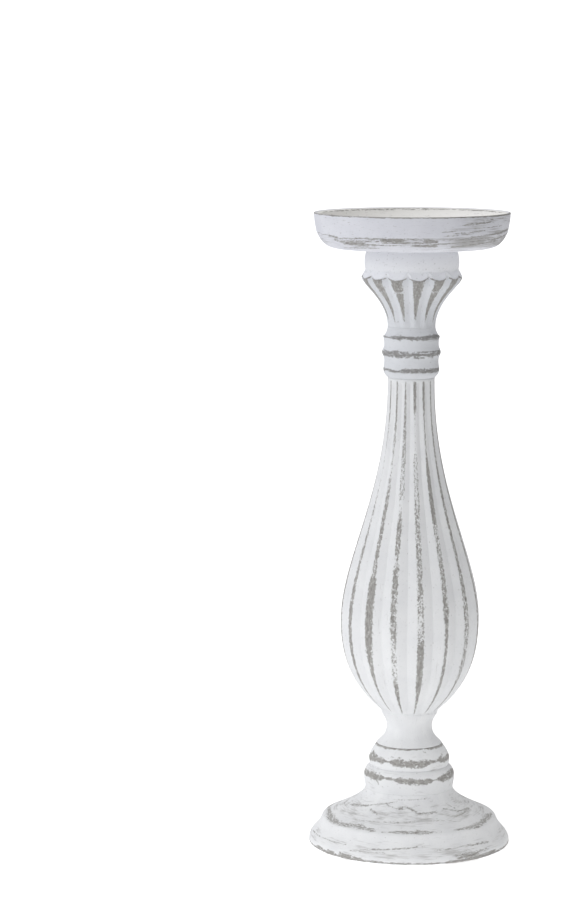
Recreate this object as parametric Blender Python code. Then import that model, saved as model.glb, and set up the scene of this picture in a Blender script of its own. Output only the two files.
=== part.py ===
"""A turned and fluted wooden candlestick for one pillar candle.

Five turned sections are stacked on one vertical axis and carry a dish. A long wood screw pulls the foot,
the pedestal and the baluster together, a dowel runs from the baluster through the collar into the capital,
and a short screw under a plug holds the dish. Metres, +Z up, origin on the ground under the axis.
"""

import math

import bmesh
import bpy
from mathutils import Matrix, Vector
from mathutils.geometry import interpolate_bezier

# Fits. Every pair of pieces that touch keeps one of these gaps.
GLUE_GAP = 0.0003
HOLE_CLEARANCE = 0.0003
END_CLEARANCE = 0.0006

# Felt pad, let into the underside of the foot.
FELT_THICKNESS = 0.0015
FELT_PROUD = 0.0005

# Foot: a flared skirt, a rubbed shoulder and a hollow sweep up to the pedestal.
FOOT_HEIGHT = 0.0299
FOOT_RADIUS = 0.0544
FOOT_EDGE_ROUND = 0.0009
FOOT_RIM_WIDTH = 0.0089
SKIRT_FLARE = 0.0074
SHOULDER_HEIGHT = 0.0142
SHOULDER_ROUND = 0.0016
FOOT_TOP_LEDGE = 0.0005
FOOT_COUNTERBORE_DEPTH = 0.0080

# Pedestal: two beads, the lower one larger, under a sharp upper edge.
PEDESTAL_HEIGHT = 0.0240
LOWER_BEAD_RADIUS = 0.0245
UPPER_BEAD_STEP = 0.0027
BEAD_GROOVE_STEP = 0.0036
BEAD_GROOVE_HEIGHT = 0.0121
UPPER_CREST_SHARE = 0.28
PEDESTAL_FOOT_STEP = 0.0008
PEDESTAL_TOP_STEP = 0.0069
PEDESTAL_SPIGOT_RADIUS = 0.0100
PEDESTAL_SPIGOT_LENGTH = 0.0040

# Baluster: a plain waist, then the fluted pear-shaped body.
BALUSTER_HEIGHT = 0.1990
WAIST_RADIUS = 0.0123
WAIST_HEIGHT = 0.0094
CUP_FLARE = 0.0030
CUP_HEIGHT = 0.0177
BELLY_RADIUS = 0.0375
BELLY_HEIGHT = 0.0673
NECK_RADIUS = 0.0126
NECK_BAND_HEIGHT = 0.0022
BALUSTER_SPIGOT_RADIUS = 0.0090
BALUSTER_SPIGOT_LENGTH = 0.0090
BALUSTER_FLUTES = 16
BALUSTER_FLUTE_DEPTH = 0.0015
BALUSTER_LAND_SHARE = 0.25
BALUSTER_FLUTE_TURN_DEG = 9.0

# Collar: three ridges with hollows between them.
COLLAR_HEIGHT = 0.0267
COLLAR_RIDGE_REACH = (0.0024, 0.0031, 0.0025)
COLLAR_RIDGE_HEIGHT = (0.0042, 0.0134, 0.0219)
COLLAR_HOLLOW_DEPTH = 0.0008

# Capital: a fluted flare, a lip and a plain band that carries the dish.
CAPITAL_HEIGHT = 0.0418
CAPITAL_NECK_STEP = 0.0002
LIP_RADIUS = 0.0268
LIP_HEIGHT = 0.0260
BAND_COVE_SHARE = 0.27
BAND_BULGE_SHARE = 0.53
BAND_COVE_STEP = 0.0020
BAND_BULGE_STEP = 0.0015
BAND_TOP_STEP = 0.0029
CAPITAL_SPIGOT_RADIUS = 0.0120
CAPITAL_SPIGOT_LENGTH = 0.0025
CAPITAL_FLUTES = 14
CAPITAL_FLUTE_WIDTH = 0.0048
CAPITAL_FLUTE_DEPTH = 0.0013
CAPITAL_FLUTE_TURN_DEG = 8.0

# Candle dish.
DISH_HEIGHT = 0.0188
DISH_RADIUS = 0.0523
DISH_WALL_DRAFT = 0.0014
DISH_EDGE_RUN = 0.0094
DISH_EDGE_RISE = 0.0086
RIM_LAND_WIDTH = 0.0035
RIM_LAND_FALL = 0.0007
RIM_ROUND = 0.0006
WELL_DEPTH = 0.0085
WELL_WALL_RUN = 0.0060

# Joinery.
DOWEL_RADIUS = 0.0060
DOWEL_IN_BALUSTER = 0.0200
DOWEL_TO_SCREW = 0.0071
DOWEL_CHAMFER = 0.0008
DOWEL_GROOVES = 12
DOWEL_GROOVE_DEPTH = 0.0003
SCREW_HEAD_RADIUS = 0.0046
SCREW_HEAD_HEIGHT = 0.0026
SCREW_SHANK_RADIUS = 0.0022
SCREW_THREAD_RADIUS = 0.0024
SCREW_CORE_RADIUS = 0.0017
SCREW_THREAD_PITCH = 0.0030
SCREW_POINT_LENGTH = 0.0040
SCREW_RECESS_WIDTH = 0.0009
SCREW_RECESS_SPAN = 0.0050
SCREW_RECESS_DEPTH = 0.0014
FOOT_SCREW_LENGTH = 0.0560
DISH_SCREW_LENGTH = 0.0300
PLUG_RADIUS = 0.0060
PLUG_THICKNESS = 0.0027

# Fineness of the facets.
PLAIN_STEPS = 48
SMALL_STEPS = 16
FLUTE_STEPS = 4
LAND_EDGE_COLUMN = 1
VALLEY_COLUMN = 2
SHARP_ANGLE_DEG = 32.0

# Radii that follow a neighbouring radius.
FELT_RADIUS = FOOT_RADIUS - FOOT_RIM_WIDTH
SHOULDER_RADIUS = FOOT_RADIUS - SKIRT_FLARE
PEDESTAL_FOOT_RADIUS = LOWER_BEAD_RADIUS - PEDESTAL_FOOT_STEP
PEDESTAL_TOP_RADIUS = LOWER_BEAD_RADIUS - PEDESTAL_TOP_STEP
FOOT_TOP_RADIUS = PEDESTAL_FOOT_RADIUS + FOOT_TOP_LEDGE
CUP_RADIUS = WAIST_RADIUS + CUP_FLARE
CAPITAL_NECK_RADIUS = NECK_RADIUS + CAPITAL_NECK_STEP
DISH_EDGE_RADIUS = DISH_RADIUS - DISH_WALL_DRAFT
DISH_UNDERSIDE_RADIUS = DISH_EDGE_RADIUS - DISH_EDGE_RUN
RIM_LAND_RADIUS = DISH_RADIUS - RIM_LAND_WIDTH
WELL_FLOOR_RADIUS = RIM_LAND_RADIUS - WELL_WALL_RUN

# Heights of the stacked sections above the ground.
FOOT_Z = FELT_PROUD
PEDESTAL_Z = FOOT_Z + FOOT_HEIGHT + GLUE_GAP
BALUSTER_Z = PEDESTAL_Z + PEDESTAL_HEIGHT + GLUE_GAP
COLLAR_Z = BALUSTER_Z + BALUSTER_HEIGHT + GLUE_GAP
CAPITAL_Z = COLLAR_Z + COLLAR_HEIGHT + GLUE_GAP
DISH_Z = CAPITAL_Z + CAPITAL_HEIGHT + GLUE_GAP

# Heights of the fasteners, from the pieces that hold them.
FOOT_SCREW_Z = FELT_THICKNESS + GLUE_GAP + FOOT_COUNTERBORE_DEPTH
PLUG_Z = DISH_Z + DISH_HEIGHT - WELL_DEPTH - PLUG_THICKNESS
DISH_SCREW_Z = PLUG_Z - GLUE_GAP
DOWEL_Z = BALUSTER_Z + BALUSTER_HEIGHT - DOWEL_IN_BALUSTER
DOWEL_LENGTH = DISH_SCREW_Z - DISH_SCREW_LENGTH - DOWEL_TO_SCREW - DOWEL_Z

# Radii of the holes, from what goes into them.
SHANK_HOLE_RADIUS = SCREW_THREAD_RADIUS + HOLE_CLEARANCE
HEAD_HOLE_RADIUS = SCREW_HEAD_RADIUS + HOLE_CLEARANCE
DOWEL_HOLE_RADIUS = DOWEL_RADIUS + HOLE_CLEARANCE


def clear_scene():
    for old in list(bpy.data.objects):
        bpy.data.objects.remove(old, do_unlink=True)


# ---- outlines: lists of points (radius, height), followed anticlockwise around the cut section


def at(radius, height):
    return Vector((radius, height, 0.0))


def sweep(start, start_deg, start_pull, end, end_deg, end_pull, steps):
    """A smooth stretch from start to end. Each pull is the handle's share of the distance."""
    span = (end - start).length
    leave = Vector((math.cos(math.radians(start_deg)), math.sin(math.radians(start_deg)), 0.0))
    arrive = Vector((math.cos(math.radians(end_deg)), math.sin(math.radians(end_deg)), 0.0))
    first_handle = start + leave * span * start_pull
    last_handle = end - arrive * span * end_pull
    return interpolate_bezier(start, first_handle, last_handle, end, steps + 1)


def screw_seat(head_face, up):
    """Countersunk seat for a screw head whose flat face is at head_face; up is the way the screw points."""
    cone_end = head_face + up * SCREW_HEAD_HEIGHT
    return [at(HEAD_HOLE_RADIUS, head_face), at(SHANK_HOLE_RADIUS, cone_end)]


# ---- meshes


def spun(outline, steps, closed):
    """A solid of revolution from an outline that either closes on itself or starts and ends on the axis."""
    mesh = bmesh.new()
    verts = [mesh.verts.new((point.x, 0.0, point.y)) for point in outline]
    ends = verts[1:] + verts[:1] if closed else verts[1:]
    edges = [mesh.edges.new(pair) for pair in zip(verts, ends)]
    bmesh.ops.spin(mesh, geom=verts + edges, cent=(0, 0, 0), axis=(0, 0, 1), angle=2 * math.pi, steps=steps,
                   use_merge=True, use_duplicate=False)
    bmesh.ops.remove_doubles(mesh, verts=mesh.verts, dist=1e-6)
    bmesh.ops.recalc_face_normals(mesh, faces=mesh.faces)
    return mesh


def carve_flutes(mesh, count, core_radius, land_share, depth):
    """Turns a round solid of count * FLUTE_STEPS columns into a fluted one.

    Each pitch has a crest, a land edge on both sides of it and a valley. land_share and depth are
    functions of radius and height. Vertices inside core_radius belong to the bores and stay.
    """
    pitch = 2 * math.pi / count
    for vert in mesh.verts:
        radius = vert.co.xy.length
        if radius < core_radius:
            continue
        turns = math.atan2(vert.co.y, vert.co.x) / pitch
        offset = turns - round(turns)
        cut = depth(radius, vert.co.z)
        column = round(abs(offset) * FLUTE_STEPS)
        if column == VALLEY_COLUMN:
            radius -= cut
        elif column == LAND_EDGE_COLUMN and cut > 0:
            offset = math.copysign(land_share(radius) / 2, offset)
        angle = (round(turns) + offset) * pitch
        vert.co.xy = (radius * math.cos(angle), radius * math.sin(angle))


def fade(height, start, end):
    """Rises smoothly from 0 at start to 1 at end."""
    share = min(max((height - start) / (end - start), 0.0), 1.0)
    return math.sqrt(share * (2 - share))


def material(name, colour, roughness, metallic=0.0):
    made = bpy.data.materials.new(name)
    made.use_nodes = True
    shader = made.node_tree.nodes["Principled BSDF"]
    shader.inputs["Base Color"].default_value = (*colour, 1.0)
    shader.inputs["Roughness"].default_value = roughness
    shader.inputs["Metallic"].default_value = metallic
    made.diffuse_color = (*colour, 1.0)
    return made


def add_piece(name, mesh, height, finish, parent):
    data = bpy.data.meshes.new(name)
    mesh.to_mesh(data)
    mesh.free()
    data.materials.append(finish)
    data.shade_smooth()
    data.set_sharp_from_angle(angle=math.radians(SHARP_ANGLE_DEG))
    piece = bpy.data.objects.new(name, data)
    bpy.context.scene.collection.objects.link(piece)
    piece.parent = parent
    piece.location.z = height
    return piece


# ---- the pieces, each in its own frame with the axis at x = y = 0


def make_felt():
    mesh = bmesh.new()
    bmesh.ops.create_cone(mesh, cap_ends=True, segments=PLAIN_STEPS, radius1=FELT_RADIUS,
                          radius2=FELT_RADIUS, depth=FELT_THICKNESS)
    bmesh.ops.translate(mesh, verts=mesh.verts, vec=(0, 0, FELT_THICKNESS / 2))
    return mesh


def make_foot():
    recess_radius = FELT_RADIUS + HOLE_CLEARANCE
    recess_top = FELT_THICKNESS + GLUE_GAP - FELT_PROUD
    head_face = FOOT_SCREW_Z - FOOT_Z
    spigot_floor = FOOT_HEIGHT - PEDESTAL_SPIGOT_LENGTH - END_CLEARANCE
    spigot_hole = PEDESTAL_SPIGOT_RADIUS + HOLE_CLEARANCE

    skirt = sweep(at(FOOT_RADIUS, FOOT_EDGE_ROUND), 91, 0.35,
                  at(SHOULDER_RADIUS + SHOULDER_ROUND * 0.4, SHOULDER_HEIGHT - SHOULDER_ROUND), 112, 0.50, 5)
    hollow = sweep(at(SHOULDER_RADIUS - SHOULDER_ROUND, SHOULDER_HEIGHT + SHOULDER_ROUND * 0.5), 156, 0.60,
                   at(FOOT_TOP_RADIUS, FOOT_HEIGHT), 128, 0.25, 7)
    shoulder = at(SHOULDER_RADIUS - SHOULDER_ROUND * 0.15, SHOULDER_HEIGHT - SHOULDER_ROUND * 0.1)
    outline = [at(recess_radius, 0), at(FOOT_RADIUS - FOOT_EDGE_ROUND, 0)]
    outline += skirt + [shoulder] + hollow
    outline += [at(spigot_hole, FOOT_HEIGHT), at(spigot_hole, spigot_floor)]
    outline += [at(SHANK_HOLE_RADIUS, spigot_floor)]
    outline += reversed(screw_seat(head_face, 1))
    outline += [at(HEAD_HOLE_RADIUS, recess_top), at(recess_radius, recess_top)]
    return spun(outline, PLAIN_STEPS, closed=True)


def make_pedestal():
    mortise_radius = BALUSTER_SPIGOT_RADIUS + HOLE_CLEARANCE
    mortise_floor = PEDESTAL_HEIGHT - BALUSTER_SPIGOT_LENGTH - END_CLEARANCE

    lower_crest = at(LOWER_BEAD_RADIUS, BEAD_GROOVE_HEIGHT / 2)
    upper_height = BEAD_GROOVE_HEIGHT + (PEDESTAL_HEIGHT - BEAD_GROOVE_HEIGHT) * UPPER_CREST_SHARE
    upper_crest = at(LOWER_BEAD_RADIUS - UPPER_BEAD_STEP, upper_height)
    groove = at(LOWER_BEAD_RADIUS - BEAD_GROOVE_STEP, BEAD_GROOVE_HEIGHT)
    outline = [at(SHANK_HOLE_RADIUS, -PEDESTAL_SPIGOT_LENGTH)]
    outline += [at(PEDESTAL_SPIGOT_RADIUS, -PEDESTAL_SPIGOT_LENGTH), at(PEDESTAL_SPIGOT_RADIUS, 0)]
    outline += sweep(at(PEDESTAL_FOOT_RADIUS, 0), 65, 0.30, lower_crest, 90, 0.45, 3)
    outline += sweep(lower_crest, 90, 0.50, groove, 160, 0.30, 4)[1:]
    outline += sweep(groove, 40, 0.30, upper_crest, 90, 0.45, 3)[1:]
    outline += sweep(upper_crest, 90, 0.36, at(PEDESTAL_TOP_RADIUS, PEDESTAL_HEIGHT), 122, 0.25, 4)[1:]
    outline += [at(mortise_radius, PEDESTAL_HEIGHT), at(mortise_radius, mortise_floor)]
    outline += [at(SHANK_HOLE_RADIUS, mortise_floor)]
    return spun(outline, PLAIN_STEPS, closed=True)


def make_baluster():
    pilot_top = FOOT_SCREW_Z + FOOT_SCREW_LENGTH + END_CLEARANCE - BALUSTER_Z
    mortise_floor = BALUSTER_HEIGHT - DOWEL_IN_BALUSTER - END_CLEARANCE
    flute_end = BALUSTER_HEIGHT - NECK_BAND_HEIGHT

    waist = at(WAIST_RADIUS, WAIST_HEIGHT)
    cup = at(CUP_RADIUS, CUP_HEIGHT)
    belly = at(BELLY_RADIUS, BELLY_HEIGHT)
    neck = at(NECK_RADIUS, flute_end)
    outline = [at(0, pilot_top), at(SHANK_HOLE_RADIUS, pilot_top)]
    outline += [at(SHANK_HOLE_RADIUS, -BALUSTER_SPIGOT_LENGTH)]
    outline += [at(BALUSTER_SPIGOT_RADIUS, -BALUSTER_SPIGOT_LENGTH), at(BALUSTER_SPIGOT_RADIUS, 0)]
    outline += sweep(at(PEDESTAL_TOP_RADIUS, 0), 130, 0.28, waist, 90, 0.50, 4)
    outline += sweep(waist, 90, 0.50, cup, 100, 0.22, 4)[1:]
    outline += sweep(cup, 75, 0.05, belly, 90, 0.65, 8)[1:]
    outline += sweep(belly, 90, 0.26, neck, 90, 0.46, 13)[1:]
    outline += [at(NECK_RADIUS, BALUSTER_HEIGHT), at(DOWEL_HOLE_RADIUS, BALUSTER_HEIGHT)]
    outline += [at(DOWEL_HOLE_RADIUS, mortise_floor), at(0, mortise_floor)]
    mesh = spun(outline, BALUSTER_FLUTES * FLUTE_STEPS, closed=False)

    def depth(radius, height):
        lower_end = fade(height, CUP_HEIGHT, CUP_HEIGHT + CUP_RADIUS * 0.4)
        upper_end = 1 - fade(height, flute_end - NECK_BAND_HEIGHT, flute_end)
        return BALUSTER_FLUTE_DEPTH * math.sqrt(radius / BELLY_RADIUS) * lower_end * upper_end

    carve_flutes(mesh, BALUSTER_FLUTES, WAIST_RADIUS * 0.99, lambda radius: BALUSTER_LAND_SHARE, depth)
    turn = Matrix.Rotation(math.radians(BALUSTER_FLUTE_TURN_DEG - 90), 3, "Z")
    bmesh.ops.rotate(mesh, verts=mesh.verts, cent=(0, 0, 0), matrix=turn)
    return mesh


def make_collar():
    crests = []
    for reach, height in zip(COLLAR_RIDGE_REACH, COLLAR_RIDGE_HEIGHT):
        crests.append(at(NECK_RADIUS + reach, height))
    outline = [at(DOWEL_HOLE_RADIUS, 0)]
    outline += sweep(at(NECK_RADIUS, 0), 35, 0.40, crests[0], 85, 0.35, 4)
    for lower, upper in zip(crests, crests[1:]):
        outline += [(lower + upper) / 2 - at(COLLAR_HOLLOW_DEPTH, 0), upper]
    outline += sweep(crests[-1], 150, 0.30, at(CAPITAL_NECK_RADIUS, COLLAR_HEIGHT), 88, 0.15, 3)[1:]
    outline += [at(DOWEL_HOLE_RADIUS, COLLAR_HEIGHT)]
    return spun(outline, PLAIN_STEPS, closed=True)


def make_capital():
    mortise_top = DOWEL_Z + DOWEL_LENGTH + END_CLEARANCE - CAPITAL_Z
    pilot_floor = DISH_SCREW_Z - DISH_SCREW_LENGTH - END_CLEARANCE - CAPITAL_Z
    spigot_top = CAPITAL_HEIGHT + CAPITAL_SPIGOT_LENGTH
    band = CAPITAL_HEIGHT - LIP_HEIGHT

    lip = at(LIP_RADIUS, LIP_HEIGHT)
    cove = at(LIP_RADIUS - BAND_COVE_STEP, LIP_HEIGHT + band * BAND_COVE_SHARE)
    bulge = at(LIP_RADIUS - BAND_BULGE_STEP, LIP_HEIGHT + band * BAND_BULGE_SHARE)
    band_top = at(LIP_RADIUS - BAND_TOP_STEP, CAPITAL_HEIGHT)
    outline = [at(0, mortise_top), at(DOWEL_HOLE_RADIUS, mortise_top), at(DOWEL_HOLE_RADIUS, 0)]
    outline += sweep(at(CAPITAL_NECK_RADIUS, 0), 90, 0.46, lip, 86, 0.12, 9)
    outline += sweep(lip, 105, 0.40, cove, 95, 0.40, 2)[1:]
    outline += sweep(cove, 80, 0.35, bulge, 90, 0.35, 2)[1:]
    outline += sweep(bulge, 90, 0.40, band_top, 105, 0.30, 3)[1:]
    outline += [at(CAPITAL_SPIGOT_RADIUS, CAPITAL_HEIGHT), at(CAPITAL_SPIGOT_RADIUS, spigot_top)]
    outline += [at(SHANK_HOLE_RADIUS, spigot_top), at(SHANK_HOLE_RADIUS, pilot_floor), at(0, pilot_floor)]
    mesh = spun(outline, CAPITAL_FLUTES * FLUTE_STEPS, closed=False)

    def land_share(radius):
        return max(1 - CAPITAL_FLUTE_WIDTH * CAPITAL_FLUTES / (2 * math.pi * radius), 0.10)

    def depth(radius, height):
        lower_end = fade(height, 0, LIP_HEIGHT * 0.5)
        upper_end = 1 - fade(height, LIP_HEIGHT, LIP_HEIGHT + band * 0.2)
        return CAPITAL_FLUTE_DEPTH * lower_end * upper_end

    carve_flutes(mesh, CAPITAL_FLUTES, CAPITAL_NECK_RADIUS * 0.99, land_share, depth)
    turn = Matrix.Rotation(math.radians(CAPITAL_FLUTE_TURN_DEG - 90), 3, "Z")
    bmesh.ops.rotate(mesh, verts=mesh.verts, cent=(0, 0, 0), matrix=turn)
    return mesh


def make_dish():
    spigot_hole = CAPITAL_SPIGOT_RADIUS + HOLE_CLEARANCE
    spigot_top = CAPITAL_SPIGOT_LENGTH + END_CLEARANCE
    floor = DISH_HEIGHT - WELL_DEPTH
    head_face = DISH_SCREW_Z - DISH_Z
    plug_hole = PLUG_RADIUS + HOLE_CLEARANCE
    plug_ledge = PLUG_Z - GLUE_GAP / 2 - DISH_Z

    edge = at(DISH_EDGE_RADIUS, DISH_EDGE_RISE)
    land = at(RIM_LAND_RADIUS, DISH_HEIGHT - RIM_LAND_FALL)
    outline = [at(spigot_hole, 0)]
    outline += sweep(at(DISH_UNDERSIDE_RADIUS, 0), 18, 0.12, edge, 67, 0.72, 6)
    outline += sweep(edge, 78, 0.30, at(DISH_RADIUS, DISH_HEIGHT - RIM_ROUND), 87, 0.30, 2)[1:]
    outline += [at(DISH_RADIUS - RIM_ROUND, DISH_HEIGHT)]
    outline += sweep(land, -75, 0.40, at(WELL_FLOOR_RADIUS, floor), 185, 0.40, 5)
    outline += [at(plug_hole, floor), at(plug_hole, plug_ledge)]
    outline += [at(HEAD_HOLE_RADIUS, plug_ledge)] + screw_seat(head_face, -1)
    outline += [at(SHANK_HOLE_RADIUS, spigot_top), at(spigot_hole, spigot_top)]
    return spun(outline, PLAIN_STEPS, closed=True)


def make_dowel():
    end_radius = DOWEL_RADIUS - DOWEL_CHAMFER
    outline = [at(0, 0), at(end_radius, 0), at(DOWEL_RADIUS, DOWEL_CHAMFER)]
    outline += [at(DOWEL_RADIUS, DOWEL_LENGTH - DOWEL_CHAMFER), at(end_radius, DOWEL_LENGTH)]
    outline += [at(0, DOWEL_LENGTH)]
    mesh = spun(outline, DOWEL_GROOVES * FLUTE_STEPS, closed=False)
    carve_flutes(mesh, DOWEL_GROOVES, end_radius + DOWEL_CHAMFER / 2, lambda radius: 0.5,
                 lambda radius, height: DOWEL_GROOVE_DEPTH)
    return mesh


def make_screw(length):
    """A countersunk wood screw that points up, with the flat face of its head at z = 0."""
    thread_start = SCREW_HEAD_HEIGHT + (length - SCREW_HEAD_HEIGHT) * 0.35
    thread_end = length - SCREW_POINT_LENGTH
    turns = int((thread_end - thread_start) / SCREW_THREAD_PITCH)
    outline = [at(0, 0), at(SCREW_HEAD_RADIUS, 0), at(SCREW_SHANK_RADIUS, SCREW_HEAD_HEIGHT)]
    outline += [at(SCREW_SHANK_RADIUS, thread_start)]
    for turn in range(turns):
        root = thread_start + (turn + 0.5) * SCREW_THREAD_PITCH
        outline += [at(SCREW_CORE_RADIUS, root), at(SCREW_THREAD_RADIUS, root + SCREW_THREAD_PITCH / 2)]
    outline += [at(SCREW_CORE_RADIUS, thread_end), at(0, length)]
    return spun(outline, SMALL_STEPS, closed=False)


def cut_cross_recess(screw, parent):
    """Sinks a cross into the head, with a hidden cutter of two crossed bars."""
    mesh = bmesh.new()
    half = SCREW_RECESS_WIDTH / 2
    reach = SCREW_RECESS_SPAN / 2
    corners = [(half, half), (half, reach), (-half, reach), (-half, half), (-reach, half), (-reach, -half),
               (-half, -half), (-half, -reach), (half, -reach), (half, -half), (reach, -half), (reach, half)]
    face = mesh.faces.new([mesh.verts.new((x, y, -SCREW_RECESS_DEPTH)) for x, y in corners])
    grown = bmesh.ops.extrude_face_region(mesh, geom=[face])["geom"]
    top = [item for item in grown if isinstance(item, bmesh.types.BMVert)]
    bmesh.ops.translate(mesh, verts=top, vec=(0, 0, 2 * SCREW_RECESS_DEPTH))
    bmesh.ops.recalc_face_normals(mesh, faces=mesh.faces)
    cutter = add_piece(screw.name + "_cutter", mesh, 0.0, screw.data.materials[0], parent)
    cutter.location = screw.location
    cutter.hide_render = True
    cutter.display_type = "WIRE"
    cut = screw.modifiers.new("cross recess", "BOOLEAN")
    cut.operation = "DIFFERENCE"
    cut.object = cutter


def make_plug():
    mesh = bmesh.new()
    bmesh.ops.create_cone(mesh, cap_ends=True, segments=PLAIN_STEPS, radius1=PLUG_RADIUS, radius2=PLUG_RADIUS,
                          depth=PLUG_THICKNESS)
    bmesh.ops.translate(mesh, verts=mesh.verts, vec=(0, 0, PLUG_THICKNESS / 2))
    return mesh


def main():
    clear_scene()
    stick = bpy.data.objects.new("candlestick", None)
    bpy.context.scene.collection.objects.link(stick)

    pieces = [
        ("foot_felt", make_felt(), 0.0, (0.10, 0.11, 0.10), 0.95),
        ("foot", make_foot(), FOOT_Z, (0.78, 0.78, 0.79), 0.60),
        ("pedestal", make_pedestal(), PEDESTAL_Z, (0.76, 0.76, 0.77), 0.60),
        ("baluster", make_baluster(), BALUSTER_Z, (0.78, 0.78, 0.79), 0.60),
        ("neck_collar", make_collar(), COLLAR_Z, (0.74, 0.74, 0.75), 0.60),
        ("capital", make_capital(), CAPITAL_Z, (0.76, 0.76, 0.77), 0.60),
        ("candle_dish", make_dish(), DISH_Z, (0.78, 0.78, 0.77), 0.60),
        ("neck_dowel", make_dowel(), DOWEL_Z, (0.55, 0.38, 0.22), 0.70),
        ("dish_screw_plug", make_plug(), PLUG_Z, (0.78, 0.78, 0.77), 0.60),
    ]
    for name, mesh, height, colour, roughness in pieces:
        add_piece(name, mesh, height, material(name, colour, roughness), stick)

    zinc = (0.62, 0.63, 0.65)
    foot_screw = add_piece("foot_screw", make_screw(FOOT_SCREW_LENGTH), FOOT_SCREW_Z,
                           material("foot_screw", zinc, 0.35, 1.0), stick)
    dish_screw = add_piece("dish_screw", make_screw(DISH_SCREW_LENGTH), DISH_SCREW_Z,
                           material("dish_screw", zinc, 0.35, 1.0), stick)
    dish_screw.rotation_euler.x = math.pi
    cut_cross_recess(foot_screw, stick)
    cut_cross_recess(dish_screw, stick)


main()
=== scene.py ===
import math
import bmesh
import bpy
from mathutils import Matrix, Vector, noise
from mathutils.geometry import interpolate_bezier


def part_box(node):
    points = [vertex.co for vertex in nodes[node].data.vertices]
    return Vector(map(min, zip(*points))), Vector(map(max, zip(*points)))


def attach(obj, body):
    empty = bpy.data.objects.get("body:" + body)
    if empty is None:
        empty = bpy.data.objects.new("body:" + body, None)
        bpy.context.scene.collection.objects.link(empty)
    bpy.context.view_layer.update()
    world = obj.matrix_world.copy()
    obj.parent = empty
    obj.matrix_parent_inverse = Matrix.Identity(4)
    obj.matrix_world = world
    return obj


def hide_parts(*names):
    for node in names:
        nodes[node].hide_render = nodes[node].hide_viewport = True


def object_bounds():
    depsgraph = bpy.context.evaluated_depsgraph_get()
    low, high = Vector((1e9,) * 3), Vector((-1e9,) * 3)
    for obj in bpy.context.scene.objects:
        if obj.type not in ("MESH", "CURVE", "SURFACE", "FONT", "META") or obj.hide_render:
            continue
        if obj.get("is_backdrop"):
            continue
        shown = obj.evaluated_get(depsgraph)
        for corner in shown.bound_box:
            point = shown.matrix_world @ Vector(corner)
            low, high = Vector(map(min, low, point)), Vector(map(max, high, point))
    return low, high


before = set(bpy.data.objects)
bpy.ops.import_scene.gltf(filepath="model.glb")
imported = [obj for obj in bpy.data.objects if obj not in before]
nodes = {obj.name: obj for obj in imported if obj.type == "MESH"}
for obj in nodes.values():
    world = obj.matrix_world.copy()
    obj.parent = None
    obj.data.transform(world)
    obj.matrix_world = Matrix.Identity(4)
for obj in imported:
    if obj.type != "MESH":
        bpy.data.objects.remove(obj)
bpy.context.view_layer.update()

mm = 0.001
print("frame loaded:", ", ".join(sorted(nodes)))

# The sections are glued and painted over, so the paint closes the seams. The frame leaves glueGap mm there,
# and each of the two end faces grows by nearly half of it.
glueGap = 0.3
seamFill = 0.47 * glueGap


def at(radius, height):
    # a point of an outline, in mm
    return Vector((radius, height, 0.0))


def stretch(start, startDeg, startPull, end, endDeg, endPull, steps):
    # one smooth stretch of an outline; 90 degrees is straight up, a pull is a share of the distance
    span = (end - start).length
    leave = Vector((math.cos(math.radians(startDeg)), math.sin(math.radians(startDeg)), 0.0))
    arrive = Vector((math.cos(math.radians(endDeg)), math.sin(math.radians(endDeg)), 0.0))
    return interpolate_bezier(start, start + leave * span * startPull, end - arrive * span * endPull,
                              end, steps + 1)


def softened(outline, softness, closed, glued=()):
    # sandpaper leaves no hard corner, so each one becomes a small round, except at a glued seam
    soft = []
    for index, corner in enumerate(outline):
        before = outline[index - 1] - corner
        after = outline[(index + 1) % len(outline)] - corner
        onEnd = not closed and index in (0, len(outline) - 1)
        kept = onEnd or any((corner - seam).length < 0.001 for seam in glued)
        tooShort = min(before.length, after.length) < softness * 1.6
        if kept or tooShort or before.angle(after) > math.radians(150):
            soft.append(corner)
        else:
            soft += interpolate_bezier(corner + before.normalized() * softness, corner, corner,
                                       corner + after.normalized() * softness, 5)
    return soft


def turned(outline, columns, closed):
    # spins the outline into a solid; each vertex keeps how far along the outline it lies, in mm
    mesh = bmesh.new()
    along = mesh.verts.layers.float.new("along")
    verts = []
    travelled = 0.0
    for index, point in enumerate(outline):
        if index:
            travelled += (point - outline[index - 1]).length
        vert = mesh.verts.new((point.x * mm, 0.0, point.y * mm))
        vert[along] = travelled
        verts.append(vert)
    ends = verts[1:] + verts[:1] if closed else verts[1:]
    edges = [mesh.edges.new(pair) for pair in zip(verts, ends)]
    bmesh.ops.spin(mesh, geom=verts + edges, cent=(0, 0, 0), axis=(0, 0, 1), angle=2 * math.pi, steps=columns,
                   use_merge=True, use_duplicate=False)
    bmesh.ops.remove_doubles(mesh, verts=mesh.verts, dist=1e-7)
    bmesh.ops.recalc_face_normals(mesh, faces=mesh.faces)
    return mesh


def turnDeg(point):
    # angle around the axis, 0 at the front and growing to the right
    return math.degrees(math.atan2(point.x, -point.y))


def smooth(low, high, x):
    # 0 at low, 1 at high, and a soft S between them; low may be the larger one
    share = min(max((x - low) / (high - low), 0.0), 1.0)
    return share * share * (3 - 2 * share)


def rise(height, start, end):
    # a quarter circle from 0 to 1, the way a round cutter leaves the end of a flute
    share = min(max((height - start) / (end - start), 0.0), 1.0)
    return math.sqrt(share * (2 - share))


def keyed(keys, x):
    # straight lines between (x, value, value ...) keys
    if x <= keys[0][0]:
        return keys[0][1:]
    for low, high in zip(keys, keys[1:]):
        if x <= high[0]:
            share = (x - low[0]) / (high[0] - low[0])
            return [a + (b - a) * share for a, b in zip(low[1:], high[1:])]
    return keys[-1][1:]


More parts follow.
